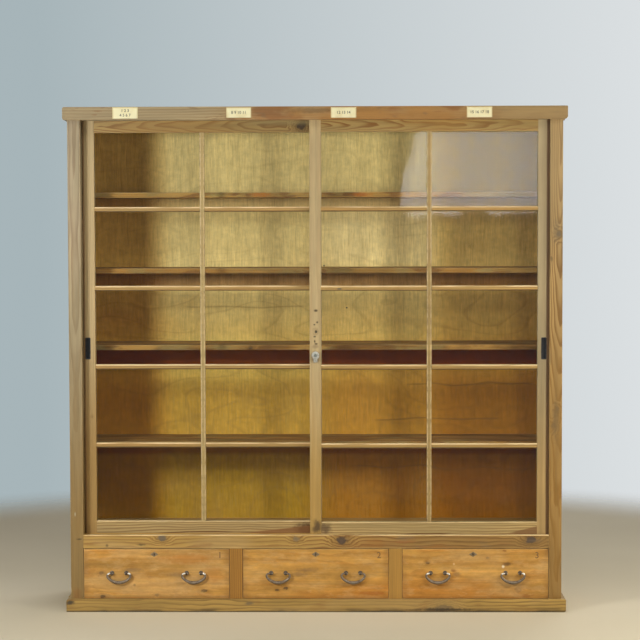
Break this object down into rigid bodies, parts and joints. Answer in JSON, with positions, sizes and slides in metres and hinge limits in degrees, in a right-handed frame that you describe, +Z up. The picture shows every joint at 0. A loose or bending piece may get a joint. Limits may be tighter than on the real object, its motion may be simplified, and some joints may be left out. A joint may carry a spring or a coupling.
{
  "type": "mizuya kitchen cabinet",
  "caption": "Wide aged-wood mizuya kitchen cabinet with glazed lattice sliding doors over open shelves, and a row of drawers with iron bail handles on a plinth.",
  "frame": {"origin": "under the middle of the whole outline, on the surface that the plinth stands on", "axes": "+X to the right seen from the front, +Y to the back, so the doors and drawers face -Y, +Z up"},
  "size_m": [1.8, 0.437, 1.815],
  "materials": {
    "carcass_pine": "aged, waxed",
    "door_cedar": "aged, waxed",
    "drawer_pine": "aged, waxed",
    "inner_cedar": "bare, darkened",
    "back_plywood": "bare plywood",
    "window_glass": "old window glass",
    "blackened_iron": "black",
    "forged_iron": "worn dark",
    "worn_nickel": "worn nickel plate"
  },
  "bodies": {
    "cabinet": {"plinth": "carcass_pine", "bottom_board": "inner_cedar", "drawer_dividers": "carcass_pine", "sill_rail": "carcass_pine", "front_left_post": "carcass_pine", "front_right_post": "carcass_pine", "back_posts": "carcass_pine", "side_rails": "carcass_pine", "side_panels": "carcass_pine", "drawer_partitions": "inner_cedar", "back_sheets": "back_plywood", "back_battens": "carcass_pine", "top_beam": "carcass_pine", "top_rails": "carcass_pine", "top_panel": "carcass_pine", "display_floor": "inner_cedar", "shelf_1": "inner_cedar", "shelf_2": "inner_cedar", "shelf_3": "inner_cedar", "shelf_4": "inner_cedar", "shelf_cleats": "inner_cedar"},
    "left_door": {"left_door_outer_stile": "door_cedar", "left_door_meeting_stile": "door_cedar", "left_door_top_rail": "door_cedar", "left_door_bottom_rail": "door_cedar", "left_door_bars": "door_cedar", "left_door_panes": "window_glass", "left_door_finger_pull": "blackened_iron"},
    "right_door": {"right_door_outer_stile": "door_cedar", "right_door_meeting_stile": "door_cedar", "right_door_top_rail": "door_cedar", "right_door_bottom_rail": "door_cedar", "right_door_bars": "door_cedar", "right_door_panes": "window_glass", "right_door_finger_pull": "blackened_iron", "right_door_lock": "worn_nickel"},
    "door_lock_plug": {"right_door_lock_plug": "worn_nickel"},
    "drawer_1": {"drawer_1_front": "drawer_pine", "drawer_1_box": "inner_cedar", "drawer_1_handle_posts": "forged_iron", "drawer_1_lock": "forged_iron"},
    "drawer_1_bolt": {"drawer_1_lock_bolt": "forged_iron"},
    "drawer_1_left_bail": {"drawer_1_left_bail": "forged_iron"},
    "drawer_1_right_bail": {"drawer_1_right_bail": "forged_iron"},
    "drawer_2": {"drawer_2_front": "drawer_pine", "drawer_2_box": "inner_cedar", "drawer_2_handle_posts": "forged_iron", "drawer_2_lock": "forged_iron"},
    "drawer_2_bolt": {"drawer_2_lock_bolt": "forged_iron"},
    "drawer_2_left_bail": {"drawer_2_left_bail": "forged_iron"},
    "drawer_2_right_bail": {"drawer_2_right_bail": "forged_iron"},
    "drawer_3": {"drawer_3_front": "drawer_pine", "drawer_3_box": "inner_cedar", "drawer_3_handle_posts": "forged_iron", "drawer_3_lock": "forged_iron"},
    "drawer_3_bolt": {"drawer_3_lock_bolt": "forged_iron"},
    "drawer_3_left_bail": {"drawer_3_left_bail": "forged_iron"},
    "drawer_3_right_bail": {"drawer_3_right_bail": "forged_iron"}
  },
  "joints": [
    {"name": "left_door_slide", "type": "slide", "parent": "cabinet", "child": "left_door", "axis": [1, 0, 0], "range_m": [-0.0025, 0.816]},
    {"name": "right_door_slide", "type": "slide", "parent": "cabinet", "child": "right_door", "axis": [-1, 0, 0], "range_m": [0, 0.8185]},
    {"name": "door_lock_turn", "type": "hinge", "parent": "right_door", "child": "door_lock_plug", "pos_m": [0.0005, -0.1895, 0.925], "axis": [0, 1, 0], "range_deg": [0, 90]},
    {"name": "drawer_1_slide", "type": "slide", "parent": "cabinet", "child": "drawer_1", "axis": [0, -1, 0], "range_m": [0, 0.3]},
    {"name": "drawer_1_bolt_throw", "type": "slide", "parent": "drawer_1", "child": "drawer_1_bolt", "axis": [0, 0, 1], "range_m": [0, 0.008]},
    {"name": "drawer_1_left_bail_swing", "type": "hinge", "parent": "drawer_1", "child": "drawer_1_left_bail", "pos_m": [-0.71017, -0.212, 0.139], "axis": [-1, 0, 0], "range_deg": [-8, 172]},
    {"name": "drawer_1_right_bail_swing", "type": "hinge", "parent": "drawer_1", "child": "drawer_1_right_bail", "pos_m": [-0.44017, -0.212, 0.139], "axis": [-1, 0, 0], "range_deg": [-8, 172]},
    {"name": "drawer_2_slide", "type": "slide", "parent": "cabinet", "child": "drawer_2", "axis": [0, -1, 0], "range_m": [0, 0.3]},
    {"name": "drawer_2_bolt_throw", "type": "slide", "parent": "drawer_2", "child": "drawer_2_bolt", "axis": [0, 0, 1], "range_m": [0, 0.008]},
    {"name": "drawer_2_left_bail_swing", "type": "hinge", "parent": "drawer_2", "child": "drawer_2_left_bail", "pos_m": [-0.135, -0.212, 0.139], "axis": [-1, 0, 0], "range_deg": [-8, 172]},
    {"name": "drawer_2_right_bail_swing", "type": "hinge", "parent": "drawer_2", "child": "drawer_2_right_bail", "pos_m": [0.135, -0.212, 0.139], "axis": [-1, 0, 0], "range_deg": [-8, 172]},
    {"name": "drawer_3_slide", "type": "slide", "parent": "cabinet", "child": "drawer_3", "axis": [0, -1, 0], "range_m": [0, 0.3]},
    {"name": "drawer_3_bolt_throw", "type": "slide", "parent": "drawer_3", "child": "drawer_3_bolt", "axis": [0, 0, 1], "range_m": [0, 0.008]},
    {"name": "drawer_3_left_bail_swing", "type": "hinge", "parent": "drawer_3", "child": "drawer_3_left_bail", "pos_m": [0.44017, -0.212, 0.139], "axis": [-1, 0, 0], "range_deg": [-8, 172]},
    {"name": "drawer_3_right_bail_swing", "type": "hinge", "parent": "drawer_3", "child": "drawer_3_right_bail", "pos_m": [0.71017, -0.212, 0.139], "axis": [-1, 0, 0], "range_deg": [-8, 172]}
  ]
}
